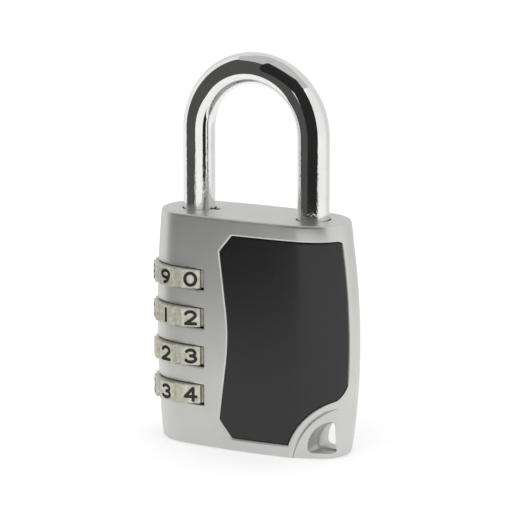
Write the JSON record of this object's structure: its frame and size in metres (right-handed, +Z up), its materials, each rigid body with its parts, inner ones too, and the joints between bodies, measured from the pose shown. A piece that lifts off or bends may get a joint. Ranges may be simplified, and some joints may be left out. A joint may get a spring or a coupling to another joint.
{
  "type": "combination padlock",
  "caption": "Number-dial padlock: silver barrel-sided body with dark cover panels, a corner lanyard eyelet and a round steel shackle that lifts.",
  "frame": {"origin": "middle of the overall box at the level of the flat base", "axes": "+Z up along the shackle's legs, -Y the front face, -X the end where the number dials stand out, +X the lanyard eyelet's end"},
  "size_m": [0.0565, 0.0234, 0.0994],
  "materials": {
    "silver_paint": "satin silver lacquer with a fine metallic flake on zinc die casting",
    "black_panel": "matt charcoal moulded plastic with a fine spark-eroded texture",
    "shackle_chrome": "polished chrome plating with hairline scratches",
    "dial_nickel": "pale satin nickel plating with black filled figures",
    "sleeve_brass": "turned brass",
    "inner_steel": "turned and ground steel",
    "spring_steel": "oiled spring steel",
    "bare_zinc": "bare zinc die casting"
  },
  "bodies": {
    "housing": {"body_casting": "silver_paint", "front_panel": "black_panel", "rear_panel": "black_panel", "bottom_plug": "bare_zinc", "plug_pin": "inner_steel", "lift_spring": "spring_steel", "reset_spring": "spring_steel", "spring_strip": "spring_steel", "strip_screw_1": "inner_steel", "strip_screw_2": "inner_steel", "detent_spring_1": "spring_steel", "detent_spring_2": "spring_steel", "detent_spring_3": "spring_steel", "detent_spring_4": "spring_steel"},
    "shackle_unit": {"shackle": "shackle_chrome", "spindle": "inner_steel", "spindle_pin": "inner_steel", "retaining_clip": "spring_steel"},
    "dial_1": {"number_dial_1": "dial_nickel", "code_sleeve_1": "sleeve_brass"},
    "dial_2": {"number_dial_2": "dial_nickel", "code_sleeve_2": "sleeve_brass"},
    "dial_3": {"number_dial_3": "dial_nickel", "code_sleeve_3": "sleeve_brass"},
    "dial_4": {"number_dial_4": "dial_nickel", "code_sleeve_4": "sleeve_brass"},
    "detent_1": {"detent_ball_1": "inner_steel"},
    "detent_2": {"detent_ball_2": "inner_steel"},
    "detent_3": {"detent_ball_3": "inner_steel"},
    "detent_4": {"detent_ball_4": "inner_steel"}
  },
  "joints": [
    {"name": "shackle_lift", "type": "slide", "parent": "housing", "child": "shackle_unit", "axis": [0, 0, 1], "range_m": [0, 0.0085], "deforming": ["lift_spring"]},
    {"name": "dial_1_turn", "type": "hinge", "parent": "housing", "child": "dial_1", "pos_m": [-0.01625, 0, 0.01325], "axis": [0, 0, 1], "continuous": true},
    {"name": "dial_2_turn", "type": "hinge", "parent": "housing", "child": "dial_2", "pos_m": [-0.01625, 0, 0.0231], "axis": [0, 0, 1], "continuous": true},
    {"name": "dial_3_turn", "type": "hinge", "parent": "housing", "child": "dial_3", "pos_m": [-0.01625, 0, 0.03295], "axis": [0, 0, 1], "continuous": true},
    {"name": "dial_4_turn", "type": "hinge", "parent": "housing", "child": "dial_4", "pos_m": [-0.01625, 0, 0.0428], "axis": [0, 0, 1], "continuous": true},
    {"name": "detent_1_slide", "type": "slide", "parent": "housing", "child": "detent_1", "axis": [-0.9511, 0.309, 0], "range_m": [0, 0.0005], "stiffness_N_per_m": 200, "springref_m": 0.001},
    {"name": "detent_2_slide", "type": "slide", "parent": "housing", "child": "detent_2", "axis": [-0.9511, 0.309, 0], "range_m": [0, 0.0005], "stiffness_N_per_m": 200, "springref_m": 0.001},
    {"name": "detent_3_slide", "type": "slide", "parent": "housing", "child": "detent_3", "axis": [-0.9511, 0.309, 0], "range_m": [0, 0.0005], "stiffness_N_per_m": 200, "springref_m": 0.001},
    {"name": "detent_4_slide", "type": "slide", "parent": "housing", "child": "detent_4", "axis": [-0.9511, 0.309, 0], "range_m": [0, 0.0005], "stiffness_N_per_m": 200, "springref_m": 0.001}
  ]
}
